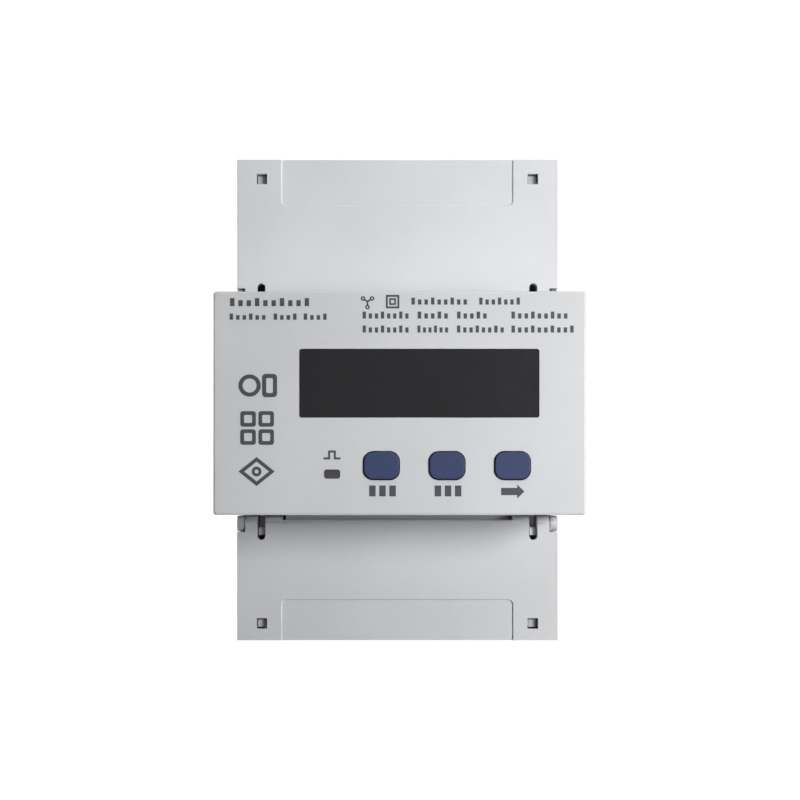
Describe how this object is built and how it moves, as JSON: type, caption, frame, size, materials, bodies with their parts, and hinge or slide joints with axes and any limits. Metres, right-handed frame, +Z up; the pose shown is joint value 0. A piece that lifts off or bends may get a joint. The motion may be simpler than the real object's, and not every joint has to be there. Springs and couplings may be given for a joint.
{
  "type": "smart electric meter",
  "caption": "Rail-mounted electricity meter with a raised front block, a dark display, push buttons, a pulse light and hinged terminal covers.",
  "frame": {"origin": "centre of the face that rests on the DIN rail, on the rail's centreline", "axes": "+X to the right seen from the front, +Z up, the front faces -Y and the rail is towards +Y"},
  "size_m": [0.072, 0.0655, 0.1],
  "materials": {
    "case_grey": "fine moulded texture, light grey",
    "insulator": "moulded, slightly darker grey",
    "display_black": "smoked, glossy",
    "lcd_glass": "polished",
    "black_plastic": "moulded",
    "white_plastic": "diffusing",
    "silicone": "soft, matte",
    "circuit_board": "solder resist",
    "steel": "bright zinc plate",
    "cage_zinc": "zinc plate",
    "brass": "rolled",
    "ferrite": "laminated",
    "winding_tape": "wrapped tape",
    "capacitor_sleeve": "shrunk sleeve",
    "varistor_blue": "dipped coating",
    "transformer_case": "potted case",
    "aux_green": "moulded",
    "clip_dark": "moulded, satin",
    "button_blue": "satin navy"
  },
  "bodies": {
    "housing": {"rear_case": "case_grey", "front_case": "case_grey", "upper_terminal_block": "insulator", "lower_terminal_block": "insulator", "display_window": "display_black", "lcd_panel": "lcd_glass", "lcd_frame": "black_plastic", "lcd_backlight": "white_plastic", "lcd_contact_strips": "silicone", "display_board": "circuit_board", "board_screws": "steel", "tact_switches": "black_plastic", "pulse_light_pipe": "display_black", "pulse_led": "white_plastic", "main_board": "circuit_board", "board_header": "black_plastic", "transformer_core": "ferrite", "transformer_winding": "winding_tape", "transformer_base": "black_plastic", "smoothing_capacitors": "capacitor_sleeve", "varistors": "varistor_blue", "board_chips": "black_plastic", "l1_busbar": "brass", "l2_busbar": "brass", "l3_busbar": "brass", "neutral_busbar": "brass", "voltage_taps": "brass", "l1_current_transformer": "transformer_case", "l2_current_transformer": "transformer_case", "l3_current_transformer": "transformer_case", "current_transformer_pins": "brass", "aux_terminal_block": "aux_green", "aux_terminal_screws": "steel", "case_screws": "steel", "clip_spring": "steel"},
    "upper_cover": {"upper_cover": "case_grey"},
    "lower_cover": {"lower_cover": "case_grey"},
    "set_button": {"set_button": "button_blue", "set_switch_plunger": "black_plastic"},
    "esc_button": {"esc_button": "button_blue", "esc_switch_plunger": "black_plastic"},
    "next_button": {"next_button": "button_blue", "next_switch_plunger": "black_plastic"},
    "rail_clip": {"rail_clip": "clip_dark"},
    "upper_l1_screw": {"upper_l1_screw": "steel"},
    "upper_l1_cage": {"upper_l1_cage": "cage_zinc"},
    "upper_l2_screw": {"upper_l2_screw": "steel"},
    "upper_l2_cage": {"upper_l2_cage": "cage_zinc"},
    "upper_l3_screw": {"upper_l3_screw": "steel"},
    "upper_l3_cage": {"upper_l3_cage": "cage_zinc"},
    "upper_neutral_screw": {"upper_neutral_screw": "steel"},
    "upper_neutral_cage": {"upper_neutral_cage": "cage_zinc"},
    "lower_l1_screw": {"lower_l1_screw": "steel"},
    "lower_l1_cage": {"lower_l1_cage": "cage_zinc"},
    "lower_l2_screw": {"lower_l2_screw": "steel"},
    "lower_l2_cage": {"lower_l2_cage": "cage_zinc"},
    "lower_l3_screw": {"lower_l3_screw": "steel"},
    "lower_l3_cage": {"lower_l3_cage": "cage_zinc"},
    "lower_neutral_screw": {"lower_neutral_screw": "steel"},
    "lower_neutral_cage": {"lower_neutral_cage": "cage_zinc"}
  },
  "joints": [
    {"name": "upper_cover_hinge", "type": "hinge", "parent": "housing", "child": "upper_cover", "pos_m": [0, -0.0364, 0.0236], "axis": [1, 0, 0], "range_deg": [0, 90]},
    {"name": "lower_cover_hinge", "type": "hinge", "parent": "housing", "child": "lower_cover", "pos_m": [0, -0.0364, -0.0236], "axis": [-1, 0, 0], "range_deg": [0, 90]},
    {"name": "set_button_press", "type": "slide", "parent": "housing", "child": "set_button", "axis": [0, 1, 0], "range_m": [0, 0.0005], "stiffness_N_per_m": 600, "springref_m": -0.002},
    {"name": "esc_button_press", "type": "slide", "parent": "housing", "child": "esc_button", "axis": [0, 1, 0], "range_m": [0, 0.0005], "stiffness_N_per_m": 600, "springref_m": -0.002},
    {"name": "next_button_press", "type": "slide", "parent": "housing", "child": "next_button", "axis": [0, 1, 0], "range_m": [0, 0.0005], "stiffness_N_per_m": 600, "springref_m": -0.002},
    {"name": "rail_clip_pull", "type": "slide", "parent": "housing", "child": "rail_clip", "axis": [0, 0, -1], "range_m": [0, 0.005], "stiffness_N_per_m": 800, "springref_m": -0.004, "deforming": ["clip_spring"]},
    {"name": "upper_l1_screw_turn", "type": "hinge", "parent": "housing", "child": "upper_l1_screw", "pos_m": [-0.024, -0.022, 0.0426], "axis": [0, 1, 0], "range_deg": [0, 2705]},
    {"name": "upper_l1_cage_lift", "type": "slide", "parent": "housing", "child": "upper_l1_cage", "axis": [0, -1, 0], "range_m": [0, 0.006]},
    {"name": "upper_l2_screw_turn", "type": "hinge", "parent": "housing", "child": "upper_l2_screw", "pos_m": [-0.008, -0.022, 0.0426], "axis": [0, 1, 0], "range_deg": [0, 2705]},
    {"name": "upper_l2_cage_lift", "type": "slide", "parent": "housing", "child": "upper_l2_cage", "axis": [0, -1, 0], "range_m": [0, 0.006]},
    {"name": "upper_l3_screw_turn", "type": "hinge", "parent": "housing", "child": "upper_l3_screw", "pos_m": [0.008, -0.022, 0.0426], "axis": [0, 1, 0], "range_deg": [0, 2705]},
    {"name": "upper_l3_cage_lift", "type": "slide", "parent": "housing", "child": "upper_l3_cage", "axis": [0, -1, 0], "range_m": [0, 0.006]},
    {"name": "upper_neutral_screw_turn", "type": "hinge", "parent": "housing", "child": "upper_neutral_screw", "pos_m": [0.024, -0.022, 0.0426], "axis": [0, 1, 0], "range_deg": [0, 2705]},
    {"name": "upper_neutral_cage_lift", "type": "slide", "parent": "housing", "child": "upper_neutral_cage", "axis": [0, -1, 0], "range_m": [0, 0.006]},
    {"name": "lower_l1_screw_turn", "type": "hinge", "parent": "housing", "child": "lower_l1_screw", "pos_m": [-0.024, -0.022, -0.0384], "axis": [0, 1, 0], "range_deg": [0, 2705]},
    {"name": "lower_l1_cage_lift", "type": "slide", "parent": "housing", "child": "lower_l1_cage", "axis": [0, -1, 0], "range_m": [0, 0.006]},
    {"name": "lower_l2_screw_turn", "type": "hinge", "parent": "housing", "child": "lower_l2_screw", "pos_m": [-0.008, -0.022, -0.0384], "axis": [0, 1, 0], "range_deg": [0, 2705]},
    {"name": "lower_l2_cage_lift", "type": "slide", "parent": "housing", "child": "lower_l2_cage", "axis": [0, -1, 0], "range_m": [0, 0.006]},
    {"name": "lower_l3_screw_turn", "type": "hinge", "parent": "housing", "child": "lower_l3_screw", "pos_m": [0.008, -0.022, -0.0384], "axis": [0, 1, 0], "range_deg": [0, 2705]},
    {"name": "lower_l3_cage_lift", "type": "slide", "parent": "housing", "child": "lower_l3_cage", "axis": [0, -1, 0], "range_m": [0, 0.006]},
    {"name": "lower_neutral_screw_turn", "type": "hinge", "parent": "housing", "child": "lower_neutral_screw", "pos_m": [0.024, -0.022, -0.0384], "axis": [0, 1, 0], "range_deg": [0, 2705]},
    {"name": "lower_neutral_cage_lift", "type": "slide", "parent": "housing", "child": "lower_neutral_cage", "axis": [0, -1, 0], "range_m": [0, 0.006]}
  ],
  "couplings": [
    {"joint": "upper_l1_screw_turn", "follows": "upper_l1_cage_lift", "rad_per_m": 7854},
    {"joint": "upper_l2_screw_turn", "follows": "upper_l2_cage_lift", "rad_per_m": 7854},
    {"joint": "upper_l3_screw_turn", "follows": "upper_l3_cage_lift", "rad_per_m": 7854},
    {"joint": "upper_neutral_screw_turn", "follows": "upper_neutral_cage_lift", "rad_per_m": 7854},
    {"joint": "lower_l1_screw_turn", "follows": "lower_l1_cage_lift", "rad_per_m": 7854},
    {"joint": "lower_l2_screw_turn", "follows": "lower_l2_cage_lift", "rad_per_m": 7854},
    {"joint": "lower_l3_screw_turn", "follows": "lower_l3_cage_lift", "rad_per_m": 7854},
    {"joint": "lower_neutral_screw_turn", "follows": "lower_neutral_cage_lift", "rad_per_m": 7854}
  ]
}
